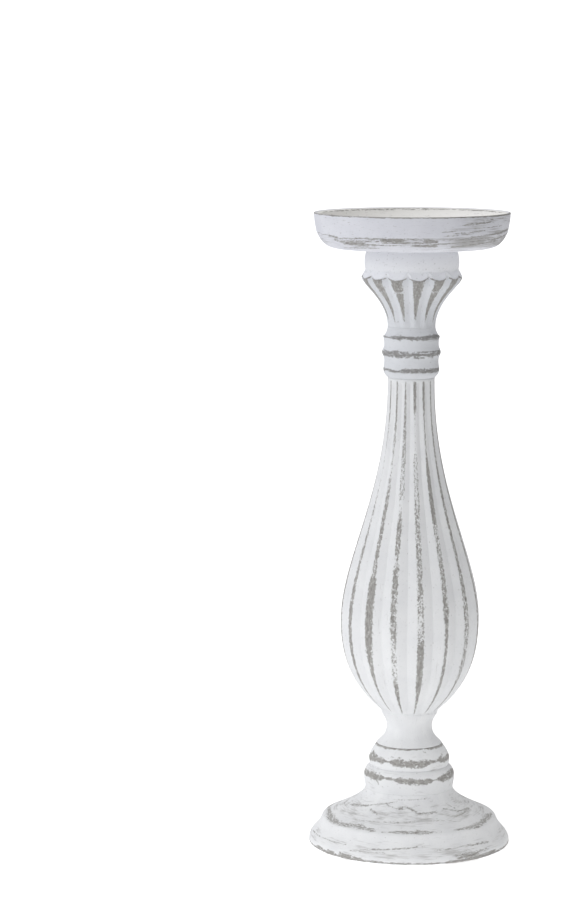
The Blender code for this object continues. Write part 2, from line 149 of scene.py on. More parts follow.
def around(keys, degrees):
    # the same for keys given around the circle, so that the last meets the first
    first = (keys[0][0] + 360.0,) + tuple(keys[0][1:])
    turn = degrees if degrees >= keys[0][0] else degrees + 360.0
    return keyed(list(keys) + [first], turn)[0]


def wander(degrees, waves, seed):
    # an even random line around the circle with no seam, about -0.5 to 0.5
    turn = math.radians(degrees)
    reach = waves / (2 * math.pi)
    return noise.noise(Vector((math.cos(turn) * reach, math.sin(turn) * reach, seed * 7.31)))


def bandRub(degrees, height, band):
    # a rubbed band around a turned crest: 1 in its middle, 0 past its edges
    centre = band["height"] + band["wander"] * wander(degrees, band["waves"], band["seed"])
    ripple = 0.55 * wander(degrees, band["waves"] * 3.2, band["seed"] + 1)
    half = band["width"] / 2 * max(around(band["turns"], degrees) + ripple, 0.0)
    if half < 0.05:
        return 0.0
    return 1 - smooth(half * 0.45, half * 1.55 + 0.1, abs(height - centre))


def strokeRub(degrees, height, strokes):
    # single scuffs: from and to degrees, height at each end in mm, width in mm, how solid
    worn = 0.0
    for startDeg, endDeg, startHeight, endHeight, width, solid in strokes:
        share = (degrees - startDeg) / (endDeg - startDeg)
        if -0.15 < share < 1.15:
            centre = startHeight + (endHeight - startHeight) * share
            ends = smooth(-0.15, 0.12, share) * smooth(1.15, 0.88, share)
            across = 1 - smooth(width * 0.2, width * 0.85, abs(height - centre))
            worn = max(worn, solid * ends * across)
    return worn


def finishPiece(name, mesh, lift, reach, wearAt, material, node):
    # stores where each point lies on the turned skin and how worn it is, then hands the piece over; wearAt
    # gives 0 to 1 for paint rubbed off (on the foot's bottom edge also a painted contact shadow), grey
    # brushed
    # over, bare wood, and painted light: a lighter paint on the capital's band under the dish and inside the
    # dish
    along = mesh.verts.layers.float["along"]
    turnedAt = mesh.verts.layers.float_vector.new("turned")
    wear = [mesh.verts.layers.float.new(kind) for kind in ("rub", "veil", "bare", "paintedLight")]
    for vert in mesh.verts:
        degrees = turnDeg(vert.co)
        turn = math.radians(degrees)
        vert[turnedAt] = (math.cos(turn) * reach, math.sin(turn) * reach, vert[along])
        for layer, value in zip(wear, wearAt(degrees, vert.co.xy.length / mm, vert.co.z / mm)):
            vert[layer] = value
    bmesh.ops.translate(mesh, verts=mesh.verts, vec=(0, 0, lift))
    data = bpy.data.meshes.new(name)
    mesh.to_mesh(data)
    mesh.free()
    data.shade_smooth()
    data.materials.append(material)
    piece = bpy.data.objects.new(name, data)
    bpy.context.scene.collection.objects.link(piece)
    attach(piece, "root")
    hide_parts(node)
    print("made", name, len(data.polygons), "faces")


def linearColour(hexText):
    channels = [int(hexText[i:i + 2], 16) / 255 for i in (1, 3, 5)]
    return tuple(c / 12.92 if c <= 0.04045 else ((c + 0.055) / 1.055) ** 2.4 for c in channels) + (1.0,)


def addNode(tree, kind, options, inputs, output=0):
    # adds a node with its options and inputs, where another node's output becomes a link
    node = tree.nodes.new(kind)
    for name, value in options.items():
        setattr(node, name, value)
    for name, value in inputs.items():
        if isinstance(value, bpy.types.NodeSocket):
            tree.links.new(value, node.inputs[name])
        else:
            node.inputs[name].default_value = value
    return node.outputs[output]


def newMaterial(name):
    material = bpy.data.materials.new(name)
    material.use_nodes = True
    return material, material.node_tree, material.node_tree.nodes["Principled BSDF"]


paint = {                       # what the painted sections share
    # the lightest white is painted light: it lightens the capital's band under the dish and the inside of the
    # dish
    "paintPale": "#E8E9EA", "paintDeep": "#E0E1E3", "paintedLightTone": "#F0EFED",
    "greyPale": "#AFADAA", "greyDeep": "#82807D",
    "woodPale": "#C9A57A", "woodDeep": "#A9804F",
    "tear": (1.3, 1.6), "tearDepth": 2.3,          # ragged borders: mark size in mm, how far they reach
    "speck": (0.55, 0.65), "speckDepth": 1.5,      # specks are drawn twice too coarse, so that they show
    "grain": (0.6, 2.4),
    "streak": (9.0, 0.8), "streakCover": 0.6,
    "marks": (6.0, 0.5), "markHeight": 0.03,
}


def chalkPaint(name, look):
    # Chalk paint: a dead matt white film, brushed on and rubbed back by hand, so crests show the grey
    # undercoat with a ragged, speckled border and a step that is as high as the film
    material, tree, shader = newMaterial(name)
    place = addNode(tree, "ShaderNodeAttribute", {"attribute_name": "turned"}, {}, "Vector")
    # rub also carries a painted contact shadow along the foot's bottom edge
    rub = addNode(tree, "ShaderNodeAttribute", {"attribute_name": "rub"}, {}, "Fac")
    veil = addNode(tree, "ShaderNodeAttribute", {"attribute_name": "veil"}, {}, "Fac")
    bare = addNode(tree, "ShaderNodeAttribute", {"attribute_name": "bare"}, {}, "Fac")
    paintedLight = addNode(tree, "ShaderNodeAttribute", {"attribute_name": "paintedLight"}, {}, "Fac")

    def marks(aroundSize, alongSize, detail=3.0):
        # cloudy marks of this size in mm, around and along the turned skin
        scaled = addNode(tree, "ShaderNodeVectorMath", {"operation": "MULTIPLY"}, {
            0: place, 1: (1 / aroundSize, 1 / aroundSize, 1 / alongSize)})
        return addNode(tree, "ShaderNodeTexNoise", {}, {
            "Vector": scaled, "Scale": 1.0, "Detail": detail, "Roughness": 0.62})

    # where the film is gone: the worn amount, broken up by tears and by specks
    worn = addNode(tree, "ShaderNodeMath", {"operation": "MULTIPLY_ADD"}, {
        0: marks(*look["tear"]), 1: look["tearDepth"], 2: rub})
    worn = addNode(tree, "ShaderNodeMath", {"operation": "MULTIPLY_ADD"}, {
        0: marks(*look["speck"], 2.0), 1: look["speckDepth"], 2: worn})
    border = 0.5 + (look["tearDepth"] + look["speckDepth"]) / 2
    rubbed = addNode(tree, "ShaderNodeMapRange", {}, {
        "Value": worn, "From Min": border - 0.10, "From Max": border + 0.36})

    # dry-brushed grey: long streaks that a nearly empty brush leaves, gathered into patches
    streakWide, streakThin = look["streak"]
    patches = addNode(tree, "ShaderNodeMath", {"operation": "MULTIPLY_ADD"}, {
        0: marks(streakWide * 1.4, streakThin * 7, 2.0), 1: 0.8, 2: marks(streakWide, streakThin, 4.0)})
    brushed = addNode(tree, "ShaderNodeMath", {"operation": "MULTIPLY_ADD"}, {0: veil, 1: 0.5, 2: patches})
    dragged = addNode(tree, "ShaderNodeMapRange", {}, {
        "Value": brushed, "From Min": 1.20, "From Max": 1.46, "To Max": look["streakCover"]})
    gone = addNode(tree, "ShaderNodeMath", {"operation": "MAXIMUM"}, {0: rubbed, 1: dragged})

    # colours of the film, of the grey under it and of the wood inside the joints
    cloud = addNode(tree, "ShaderNodeMapRange", {}, {
        "Value": marks(14.0, 14.0), "From Min": 0.3, "From Max": 0.7})
    film = addNode(tree, "ShaderNodeMix", {"data_type": "RGBA"}, {
        0: cloud, 6: linearColour(look["paintPale"]), 7: linearColour(look["paintDeep"])}, 2)
    # painted light: a lighter white on the capital's band under the dish and inside the dish
    film = addNode(tree, "ShaderNodeMix", {"data_type": "RGBA"}, {
        0: paintedLight, 6: film, 7: linearColour(look["paintedLightTone"])}, 2)
    grain = addNode(tree, "ShaderNodeMapRange", {}, {
        "Value": marks(*look["grain"]), "From Min": 0.32, "From Max": 0.68})
    under = addNode(tree, "ShaderNodeMix", {"data_type": "RGBA"}, {
        0: grain, 6: linearColour(look["greyPale"]), 7: linearColour(look["greyDeep"])}, 2)
    skin = addNode(tree, "ShaderNodeMix", {"data_type": "RGBA"}, {0: gone, 6: film, 7: under}, 2)
    fibre = addNode(tree, "ShaderNodeMapRange", {}, {
        "Value": marks(0.5, 6.0), "From Min": 0.3, "From Max": 0.7})
    wood = addNode(tree, "ShaderNodeMix", {"data_type": "RGBA"}, {
        0: fibre, 6: linearColour(look["woodPale"]), 7: linearColour(look["woodDeep"])}, 2)
    skin = addNode(tree, "ShaderNodeMix", {"data_type": "RGBA"}, {0: bare, 6: skin, 7: wood}, 2)
    tree.links.new(skin, shader.inputs["Base Color"])

    # surface: brush marks and chalk grain on the film, and the film's edge as a low step
    rough = addNode(tree, "ShaderNodeMapRange", {}, {"Value": gone, "To Min": 0.80, "To Max": 0.66})
    tree.links.new(rough, shader.inputs["Roughness"])
    shader.inputs["Specular IOR Level"].default_value = 0.3
    height = addNode(tree, "ShaderNodeMath", {"operation": "MULTIPLY"}, {0: marks(0.35, 0.35, 2.0), 1: 0.03})
    for part, share in ((marks(*look["marks"]), look["markHeight"]), (gone, -0.06), (grain, -0.01)):
        height = addNode(tree, "ShaderNodeMath", {"operation": "MULTIPLY_ADD"}, {
            0: part, 1: share, 2: height})
    bump = addNode(tree, "ShaderNodeBump", {}, {"Strength": 1.0, "Distance": mm, "Height": height})
    tree.links.new(bump, shader.inputs["Normal"])
    return material


foot = {
    "columns": 320, "softness": 0.25,
    "radius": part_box("foot")[1].x / mm, "height": 29.9,
    "edgeRound": 0.9, "rimWidth": 8.6, "skirtFlare": 7.4, "shoulderHeight": 14.2, "shoulderRound": 1.6,
    "topRadius": 23.7, "spigotHole": 10.3, "spigotFloor": 25.3,
    "skirtFrom": 38.0, "bareInside": 20.0,        # the bands lie outside the one, bare wood inside the other
    "shankHole": 2.7, "headHole": 4.9, "headFace": 9.3, "headDepth": 2.6, "recessTop": 1.3,
    # the grey line round the bottom edge is worn paint and also a painted contact shadow
    "bottomRubAndShadow": {"height": 0.9, "width": 0.8, "waves": 30, "wander": 0.3, "seed": 4,
                   "turns": [(-90, 1.3), (-66, 1.0), (-58, 2.2), (-50, 2.6), (-45, 1.1), (-38, 3.0),
                             (-33, 1.8), (-28, 1.2), (-17, 1.3), (0, 0.9), (20, 1.2), (30, 2.4),
                             (42, 2.8), (55, 1.5), (75, 1.6), (120, 2.6), (135, 1.0), (170, 1.3),
                             (188, 2.6), (200, 1.1), (235, 2.2)]},
    "shoulderBand": {"height": 15.3, "width": 1.7, "waves": 15, "wander": 0.9, "seed": 9,
                     "turns": [(-100, 0.3), (-88, 0.5), (-72, 1.1), (-45, 1.0), (-27, 0.8), (-21, 0.0),
                               (-15, 0.0), (-11, 0.6), (5, 0.9), (16, 0.6), (21, 0.0), (33, 0.0),
                               (39, 0.6), (58, 1.0), (80, 0.7), (92, 0.0), (120, 0.0), (130, 0.9),
                               (165, 0.8), (175, 0.0), (200, 0.0), (210, 0.9), (245, 0.7)]},
    "shoulderSolid": 0.72, "scuffSolid": 0.86,
    "scuffs": [
        (-75, -48, 21.4, 23.4, 1.0, 0.9), (-52, -14, 23.3, 27.0, 0.6, 0.75),
        (-18, 28, 27.8, 28.4, 0.5, 0.6), (-27, -12, 25.3, 23.9, 0.6, 0.75),
        (-12, -6, 23.8, 24.3, 1.3, 0.95), (-6, 12, 24.1, 25.4, 0.5, 0.65), (-2, 9, 24.6, 22.6, 1.1, 0.9),
        (7, 30, 22.2, 22.2, 0.8, 0.85), (15, 30, 21.2, 22.6, 0.5, 0.7), (-43, -30, 22.4, 21.0, 0.9, 0.8),
        (38, 52, 23.2, 21.2, 0.7, 0.8), (50, 72, 21.0, 20.6, 0.7, 0.85), (46, 54, 24.8, 22.2, 0.8, 0.7),
        (40, 71, 19.4, 20.4, 0.6, 0.85), (-50, -20, 17.6, 18.6, 0.5, 0.6),
        (-22, 12, 18.5, 19.2, 0.6, 0.65), (12, 30, 19.4, 18.9, 0.5, 0.55),
        (-99, -86, 21.2, 19.4, 1.1, 0.8), (-86, -58, 5.8, 6.6, 0.6, 0.75), (-58, -40, 6.5, 6.9, 0.5, 0.6),
        (-29, 8, 6.1, 8.9, 0.7, 0.85), (-37, -12, 4.8, 5.7, 0.6, 0.6), (16, 38, 6.8, 7.5, 0.6, 0.7),
        (36, 56, 7.5, 6.8, 0.9, 0.85), (27, 52, 3.9, 3.9, 1.2, 0.85), (20, 42, 5.3, 5.6, 0.5, 0.6),
        (110, 150, 22.0, 24.5, 0.9, 0.9), (140, 178, 19.0, 20.5, 0.7, 0.8),
        (-150, -120, 23.0, 21.0, 0.9, 0.9), (-172, -140, 18.0, 19.0, 0.6, 0.75),
        (118, 160, 6.5, 8.0, 0.8, 0.8), (-165, -128, 5.0, 7.0, 0.8, 0.8), (165, 179, 25.0, 24.0, 0.8, 0.8)],
    "chips": [
        (-66, -58, 1.7, 1.7, 1.3, 0.95), (-53, -47, 1.7, 1.6, 1.8, 0.95), (-43, -34, 2.1, 1.8, 1.9, 0.95),
        (-33, -27, 1.6, 1.4, 1.2, 0.95), (-21, -15, 1.2, 1.2, 0.9, 0.95), (28, 44, 2.4, 3.0, 1.4, 0.95),
        (46, 60, 2.0, 2.0, 1.0, 0.95), (100, 112, 1.8, 2.2, 1.4, 0.95), (150, 158, 1.6, 1.6, 1.3, 0.95),
        (-140, -126, 1.9, 1.7, 1.6, 0.95), (-112, -104, 1.6, 1.6, 1.2, 0.95)],
}


def makeFoot(size):
    shoulder = size["radius"] - size["skirtFlare"]
    turn = size["shoulderRound"]
    top = at(size["topRadius"], size["height"] + seamFill)
    outline = [at(size["radius"] - size["rimWidth"], 0), at(size["radius"] - size["edgeRound"], 0)]
    outline += stretch(outline[-1], 0, 0.55, at(size["radius"], size["edgeRound"]), 91, 0.55, 5)[1:]
    outline += stretch(outline[-1], 91, 0.35,
                       at(shoulder + turn * 0.4, size["shoulderHeight"] - turn), 112, 0.50, 36)[1:]
    outline += stretch(outline[-1], 112, 0.45,
                       at(shoulder - turn, size["shoulderHeight"] + turn * 0.5), 156, 0.45, 10)[1:]
    outline += stretch(outline[-1], 156, 0.60, top, 98, 0.16, 64)[1:]
    outline += [at(size["spigotHole"], top.y), at(size["spigotHole"], size["spigotFloor"]),
                at(size["shankHole"], size["spigotFloor"]),
                at(size["shankHole"], size["headFace"] + size["headDepth"]),
                at(size["headHole"], size["headFace"]), at(size["headHole"], size["recessTop"]),
                at(size["radius"] - size["rimWidth"], size["recessTop"])]
    return turned(softened(outline, size["softness"], True, [top]), size["columns"], True)


def footWear(degrees, radius, height):
    rub = foot["scuffSolid"] * strokeRub(degrees, height, foot["scuffs"])
    if radius > foot["skirtFrom"]:
        # the bottom edge line: worn paint together with a painted contact shadow
        rub = max(rub, bandRub(degrees, height, foot["bottomRubAndShadow"]),
                  strokeRub(degrees, height, foot["chips"]),
                  foot["shoulderSolid"] * bandRub(degrees, height, foot["shoulderBand"]))
    onSweep = smooth(16.0, 18.0, height) * smooth(28.0, 24.0, height)
    veil = 0.35 + 0.30 * onSweep + 0.22 * smooth(1.5, 4.0, height) * smooth(11.0, 7.0, height)
    underneath = radius < foot["radius"] - foot["rimWidth"] + 0.1 and height < 3.0
    return rub, veil, 1.0 if underneath or radius < foot["bareInside"] else 0.0, 0.0


footPaint = chalkPaint("chalk paint rubbed through on the foot",
                       {**paint, "grain": (3.0, 0.5), "streak": (10.0, 0.55), "tear": (2.2, 0.6),
                        "speck": (0.8, 0.5)})
finishPiece("turned_foot", makeFoot(foot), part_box("foot")[0].z, foot["radius"], footWear,
            footPaint, "foot")


pedestal = {
    "columns": 240, "softness": 0.2,
    "height": 24.0, "footRadius": 23.7, "lowerBead": 24.5, "upperBead": 21.8,
    "groove": 20.9, "grooveHeight": 12.1, "upperCrest": 0.28, "topRadius": 17.6,
    "spigot": 10.0, "spigotLength": 4.0, "shankHole": 2.7, "mortise": 9.3, "mortiseFloor": 14.4,
    "lowerBand": {"height": 8.2, "width": 2.9, "waves": 11, "wander": 1.0, "seed": 21,
                  "turns": [(-100, 0.3), (-74, 1.2), (-55, 1.3), (-42, 1.2), (-37, 0.6), (-30, 0.4),
                            (-21, 0.5), (-15, 1.1), (0, 0.9), (12, 1.1), (24, 1.1), (29, 0.6), (33, 0.2),
                            (40, 0.4), (48, 1.1), (68, 1.6), (95, 0.7), (130, 0.2), (150, 1.1),
                            (190, 1.2), (215, 0.2), (235, 1.0)]},
    "upperBand": {"height": 17.0, "width": 2.9, "waves": 10, "wander": 0.8, "seed": 33,
                  "turns": [(-100, 0.6), (-72, 1.3), (-50, 1.2), (-36, 0.7), (-31, 0.4), (-24, 0.9),
                            (-10, 1.2), (12, 1.3), (25, 1.0), (36, 0.6), (46, 0.5), (54, 1.2), (75, 1.2),
                            (100, 0.3), (135, 1.0), (170, 0.5), (205, 1.1), (240, 0.8)]},
    "edgeBand": {"height": 23.9, "width": 0.9, "waves": 24, "wander": 0.35, "seed": 5,
                 "turns": [(-90, 2.2), (-45, 1.7), (-15, 1.0), (18, 1.2), (23, 0.3), (30, 0.3), (36, 1.5),
                           (60, 2.1), (75, 2.1), (130, 0.8), (180, 1.1), (230, 0.7)]},
    "scuffs": [(-76, -48, 19.6, 17.4, 2.2, 1.0), (-60, -54, 8.0, 5.4, 1.4, 0.9),
               (-47, -41, 7.4, 4.8, 1.4, 0.95), (44, 62, 17.6, 19.6, 1.2, 0.85),
               (24, 30, 22.6, 21.8, 0.6, 0.7), (-30, -12, 19.6, 19.8, 0.7, 0.55)],
}


def makePedestal(size):
    lower = at(size["lowerBead"], size["grooveHeight"] / 2)
    aboveGroove = size["height"] - size["grooveHeight"]
    upper = at(size["upperBead"], size["grooveHeight"] + aboveGroove * size["upperCrest"])
    groove = at(size["groove"], size["grooveHeight"])
    bottom = at(size["footRadius"], -seamFill)
    outline = [at(size["shankHole"], -size["spigotLength"]), at(size["spigot"], -size["spigotLength"]),
               at(size["spigot"], bottom.y)]
    outline += stretch(bottom, 88, 0.30, lower, 90, 0.45, 16)
    outline += stretch(lower, 90, 0.50, groove, 160, 0.30, 22)[1:]
    outline += stretch(groove, 40, 0.30, upper, 90, 0.45, 12)[1:]
    outline += stretch(upper, 90, 0.36, at(size["topRadius"], size["height"]), 122, 0.25, 26)[1:]
    outline += [at(size["mortise"], size["height"]), at(size["mortise"], size["mortiseFloor"]),
                at(size["shankHole"], size["mortiseFloor"])]
    return turned(softened(outline, size["softness"], True, [bottom]), size["columns"], True)


def pedestalWear(degrees, radius, height):
    rub = max(bandRub(degrees, height, pedestal[band]) for band in ("lowerBand", "upperBand", "edgeBand"))
    rub = max(rub, strokeRub(degrees, height, pedestal["scuffs"]))
    inside = radius < 15.0 or height < -0.3
    return rub, 0.30, 1.0 if inside else 0.0, 0.0


pedestalPaint = chalkPaint("chalk paint rubbed through on the pedestal",
                           {**paint, "grain": (3.0, 0.5), "tear": (1.7, 1.2)})
finishPiece("turned_pedestal", makePedestal(pedestal),
            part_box("pedestal")[0].z + pedestal["spigotLength"] * mm, pedestal["lowerBead"], pedestalWear,
            pedestalPaint, "pedestal")


def carveFlutes(mesh, flutes, landAt, depthAt, recessAt):
    # draws the columns together at the land edges and the valleys, and sinks the valleys; recessAt says how
    # far the skin already lies behind the cutter's line
    pitch = 2 * math.pi / flutes["count"]
    half = flutes["columns"] // 2
    for vert in mesh.verts:
        radius = vert.co.xy.length / mm
        height = vert.co.z / mm
        if radius < flutes["core"]:
            continue
        turns = math.atan2(vert.co.y, vert.co.x) / pitch
        ridge = round(turns)
        side = -1.0 if turns < ridge else 1.0
        column = round(abs(turns - ridge) * flutes["columns"])
        shake = noise.noise(Vector((ridge * 5.7 + side * 1.3, height / 11.0, 0.4)))
        land = landAt(radius) / 2 * (1 + flutes["landShake"] * shake)
        cut = depthAt(radius, height)
        cut *= 1 + flutes["depthShake"] * noise.noise(Vector((ridge * 3.1 + side * 0.4, height / 17.0, 9.0)))
        if cut <= 0:
            continue
        if column <= flutes["landColumns"]:
            wanted = land * column / flutes["landColumns"]
            sunk = 0.0
        else:
            share = (column - flutes["landColumns"]) / (half - flutes["landColumns"])
            share = 0.5 - 0.5 * math.cos(math.pi * share)
            wanted = land + (0.5 - land) * share
            sunk = share * (1 - flutes["hollow"]) + math.sin(share * math.pi / 2) * flutes["hollow"]
        offset = column / flutes["columns"]
        offset += (wanted - offset) * smooth(0.0, 0.25, cut)
        angle = (ridge + side * offset) * pitch
        radius -= max(cut * sunk - recessAt(radius, height), 0.0)
        vert.co.xy = (radius * mm * math.cos(angle), radius * mm * math.sin(angle))
    turn = Matrix.Rotation(math.radians(flutes["turnDeg"] - 90), 3, "Z")
    bmesh.ops.rotate(mesh, verts=mesh.verts, cent=(0, 0, 0), matrix=turn)


baluster = {
    "height": 199.0, "topRadius": 17.6, "softness": 0.2,
    "waist": 12.3, "waistHeight": 9.4, "cup": 15.3, "cupHeight": 17.7,
    "belly": 37.5, "bellyHeight": 67.3, "neck": 12.6, "neckBand": 2.2, "fluteTop": 198.3, "runOut": 1.8,
    "spigot": 9.0, "spigotLength": 9.0, "pilot": 2.7, "pilotTop": 11.4,
    "mortise": 6.3, "mortiseFloor": 178.4,
    "flutes": {"count": 16, "columns": 24, "landColumns": 3, "core": 12.18, "turnDeg": 9.0,
               "landShake": 0.16, "depthShake": 0.10, "hollow": 0.15},
    "fluteDepth": 1.5, "landShare": 0.25, "neckWider": 0.5,
    # worn crests from the left: height in mm, width as a share of the land, how solid, how white the middle
    "crests": [
        [(20, 0.4, 0.9, 0), (45, 1.0, 1.0, 0), (95, 1.0, 1.0, 0), (150, 0.5, 0.8, 0), (197, 0.4, 0.9, 0)],
        [(20, 0.3, 1.0, 0), (42, 0.8, 1.0, 0), (76, 1.0, 1.0, 0), (106, 0.8, 0.9, 0), (130, 0.6, 0.65, 0),
         (147, 0.3, 0.4, 0), (170, 0.4, 0.7, 0), (185, 0.6, 1.0, 0), (197, 0.5, 1.0, 0)],
        [(21, 0.3, 1.0, 0), (36, 0.5, 1.0, 0), (50, 1.0, 0.95, 0), (58, 1.3, 1.1, 0), (91, 1.4, 1.1, 0),
         (98, 0.95, 0.8, 0), (112, 0.8, 0.9, 0), (132, 0.75, 0.9, 0), (146, 0.7, 0.6, 0),
         (152, 0.5, 0.45, 0), (168, 0.75, 0.75, 0), (182, 0.6, 0.9, 0), (197, 0.5, 1.0, 0)],
        [(21, 0.4, 1.0, 0), (30, 0.75, 1.1, 0), (37, 0.9, 0.9, 0), (41, 0.9, 0.62, 0.2),
         (62, 0.9, 0.62, 0.3), (67, 1.0, 0.85, 0), (101, 1.05, 0.85, 0), (104, 0.6, 0.4, 0),
         (109, 0.9, 0.9, 0), (124, 0.85, 0.9, 0), (132, 0.4, 0.25, 0), (138, 0.9, 0.7, 0.5),
         (156, 0.9, 0.75, 0.4), (170, 0.8, 0.8, 0), (191, 0.5, 0.9, 0), (197, 0.3, 0.8, 0)],
        [(22, 0.4, 1.0, 0), (33, 0.85, 1.0, 0), (38, 1.05, 1.1, 0), (59, 1.05, 1.1, 0),
         (64, 1.0, 0.7, 0.5), (83, 1.05, 0.8, 0.5), (88, 0.95, 0.85, 0), (106, 1.0, 0.75, 0),
         (131, 0.95, 0.7, 0.1), (136, 0.9, 0.7, 0.6), (158, 0.9, 0.7, 0.6), (162, 0.35, 0.25, 0),
         (178, 0.35, 0.45, 0), (184, 0.8, 1.0, 0), (197, 0.9, 1.1, 0)],
        [(21, 0.4, 1.0, 0), (36, 0.6, 1.0, 0), (51, 0.5, 1.0, 0), (68, 0.6, 1.0, 0), (76, 0.9, 0.9, 0),
         (106, 1.0, 0.75, 0), (114, 0.95, 0.6, 0), (122, 0.85, 0.7, 0), (128, 0.8, 1.1, 0),
         (151, 0.75, 1.1, 0), (161, 0.4, 0.8, 0), (178, 0.4, 0.8, 0), (186, 0.75, 1.0, 0),
         (197, 0.7, 1.0, 0)],
        [(21, 0.5, 1.0, 0), (46, 0.9, 0.85, 0.2), (64, 1.15, 0.75, 0.3), (81, 1.15, 0.85, 0.2),
         (96, 0.85, 0.9, 0), (146, 0.6, 0.9, 0), (197, 0.5, 1.0, 0)],
        [(21, 0.4, 0.9, 0), (50, 0.9, 0.9, 0), (95, 0.9, 0.9, 0), (197, 0.5, 1.0, 0)],
    ],
}


def makeBaluster(size):
    fluteEnd = size["height"] - size["neckBand"]
    waist = at(size["waist"], size["waistHeight"])
    cup = at(size["cup"], size["cupHeight"])
    belly = at(size["belly"], size["bellyHeight"])
    neck = at(size["neck"], fluteEnd)
    bottom = at(size["topRadius"], -seamFill)
    top = at(size["neck"], size["height"] + seamFill)
    outline = [at(0, size["pilotTop"]), at(size["pilot"], size["pilotTop"]),
               at(size["pilot"], -size["spigotLength"]), at(size["spigot"], -size["spigotLength"]),
               at(size["spigot"], bottom.y)]
    outline += stretch(bottom, 130, 0.28, waist, 90, 0.50, 14)
    outline += stretch(waist, 90, 0.50, cup, 100, 0.22, 12)[1:]
    outline += stretch(cup, 75, 0.05, belly, 90, 0.65, 60)[1:]
    outline += stretch(belly, 90, 0.26, neck, 90, 0.46, 120)[1:]
    outline += [at(size["neck"], fluteEnd + step) for step in (0.5, 1.0, 1.5)]
    outline += [top, at(size["mortise"], top.y), at(size["mortise"], size["mortiseFloor"]),
                at(0, size["mortiseFloor"])]
    flutes = size["flutes"]
    outline = softened(outline, size["softness"], False, [bottom, top])
    mesh = turned(outline, flutes["count"] * flutes["columns"], False)

    def depthAt(radius, height):
        start = rise(height, size["cupHeight"], size["cupHeight"] + size["cup"] * 0.4)
        end = 1 - rise(height, size["fluteTop"] - size["runOut"], size["fluteTop"])
        return size["fluteDepth"] * math.sqrt(radius / size["belly"]) * start * end

    carveFlutes(mesh, flutes, lambda radius: size["landShare"], depthAt, lambda radius, height: 0.0)
    return mesh


def balusterWear(degrees, radius, height):
    flutes = baluster["flutes"]
    turns = (degrees - flutes["turnDeg"]) * flutes["count"] / 360.0
    ridge = round(turns)
    crests = baluster["crests"]
    seen = -4 <= ridge <= 3
    keys = crests[ridge + 4] if seen else crests[(ridge * 3 + 6) % len(crests)]     # the back repeats them
    width, solid, pale = keyed(keys, height)
    width *= 1 + baluster["neckWider"] * smooth(100.0, 140.0, height)
    reach = abs(turns - ridge) * 2 / baluster["landShare"] / max(width, 0.1)
    soft = 0.30 + 0.12 / width
    rub = solid * (1 - smooth(1 - soft, 1 + soft, reach))
    rub *= 1 - pale * 0.8 * (1 - smooth(0.2, 0.7, reach))
    onFlutes = smooth(17.5, 20.5, height) * smooth(198.4, 197.4, height)
    inside = radius < 9.5 or height < -0.3
    return rub * onFlutes, 0.15, 1.0 if inside else 0.0, 0.0


balusterPaint = chalkPaint("chalk paint rubbed through on the baluster",
                           {**paint, "marks": (0.7, 12.0), "streak": (0.8, 12.0), "tear": (1.0, 1.7)})
finishPiece("fluted_baluster", makeBaluster(baluster),
            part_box("baluster")[0].z + baluster["spigotLength"] * mm, baluster["belly"] * 0.75, balusterWear,
            balusterPaint, "baluster")


collar = {
    "columns": 216, "softness": 0.2,
    "height": 26.7, "neck": 12.6, "topNeck": 12.8,
    "reach": (2.4, 3.1, 2.5), "ridges": (4.2, 13.4, 21.9),        # how far out and how high each ridge is
    "hollow": 0.8, "bore": 6.3,
    "bands": [
        {"height": 4.3, "width": 1.9, "waves": 12, "wander": 0.5, "seed": 41,
         "turns": [(-90, 0.9), (-40, 0.75), (-28, 0.4), (-18, 1.1), (5, 1.3), (30, 1.3), (85, 1.1),
                   (130, 0.6), (200, 1.1)]},
        {"height": 13.2, "width": 2.5, "waves": 10, "wander": 1.1, "seed": 44,
         "turns": [(-90, 1.1), (-50, 1.2), (-25, 1.5), (-8, 1.3), (2, 0.8), (20, 0.6), (60, 0.9),
                   (95, 0.7), (140, 1.1), (200, 0.6), (230, 1.2)]},
        {"height": 21.8, "width": 2.0, "waves": 11, "wander": 0.5, "seed": 47,
         "turns": [(-90, 0.7), (-60, 0.4), (-50, 0.3), (-40, 0.9), (-22, 1.2), (-6, 0.5), (4, 0.8),
                   (30, 1.3), (60, 1.5), (85, 1.2), (140, 0.5), (190, 1.1)]},
    ],
    "scuffs": [(2, 28, 11.4, 11.6, 1.0, 0.95), (8, 90, 14.6, 14.4, 0.8, 0.85),
               (-70, -30, 14.6, 13.6, 1.0, 0.9)],
}


def makeCollar(size):
    crests = [at(size["neck"] + reach, height) for reach, height in zip(size["reach"], size["ridges"])]
    bottom = at(size["neck"], -seamFill)
    top = at(size["topNeck"], size["height"] + seamFill)
    outline = [at(size["bore"], bottom.y)]
    outline += stretch(bottom, 35, 0.40, crests[0], 85, 0.35, 14)
    for lower, upper in zip(crests, crests[1:]):
        hollow = (lower + upper) / 2 - at(size["hollow"], 0)
        outline += stretch(lower, 95, 0.35, hollow, 90, 0.45, 12)[1:]
        outline += stretch(hollow, 90, 0.45, upper, 85, 0.35, 12)[1:]
    outline += stretch(crests[-1], 150, 0.30, top, 88, 0.15, 16)[1:]
    outline += [at(size["bore"], top.y)]
    return turned(softened(outline, size["softness"], True, [bottom, top]), size["columns"], True)


def collarWear(degrees, radius, height):
    rub = max(bandRub(degrees, height, band) for band in collar["bands"])
    rub = max(rub, strokeRub(degrees, height, collar["scuffs"]))
    return rub, 0.2, 1.0 if radius < 10.0 else 0.0, 0.0


# the collar's whites and greys are darker copies of the shared paint: painted shade for the shade in its
# hollows
collarShadedPaint = chalkPaint("chalk paint rubbed through on the collar",
                         {**paint, "paintPale": "#DEE0E4", "paintDeep": "#D5D7DB", "grain": (2.0, 0.5),
                          "greyPale": "#A3A2A1", "greyDeep": "#7B7A79", "tear": (1.6, 1.0)})
finishPiece("ridged_collar", makeCollar(collar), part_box("neck_collar")[0].z, collar["neck"] + 2, collarWear,
            collarShadedPaint, "neck_collar")


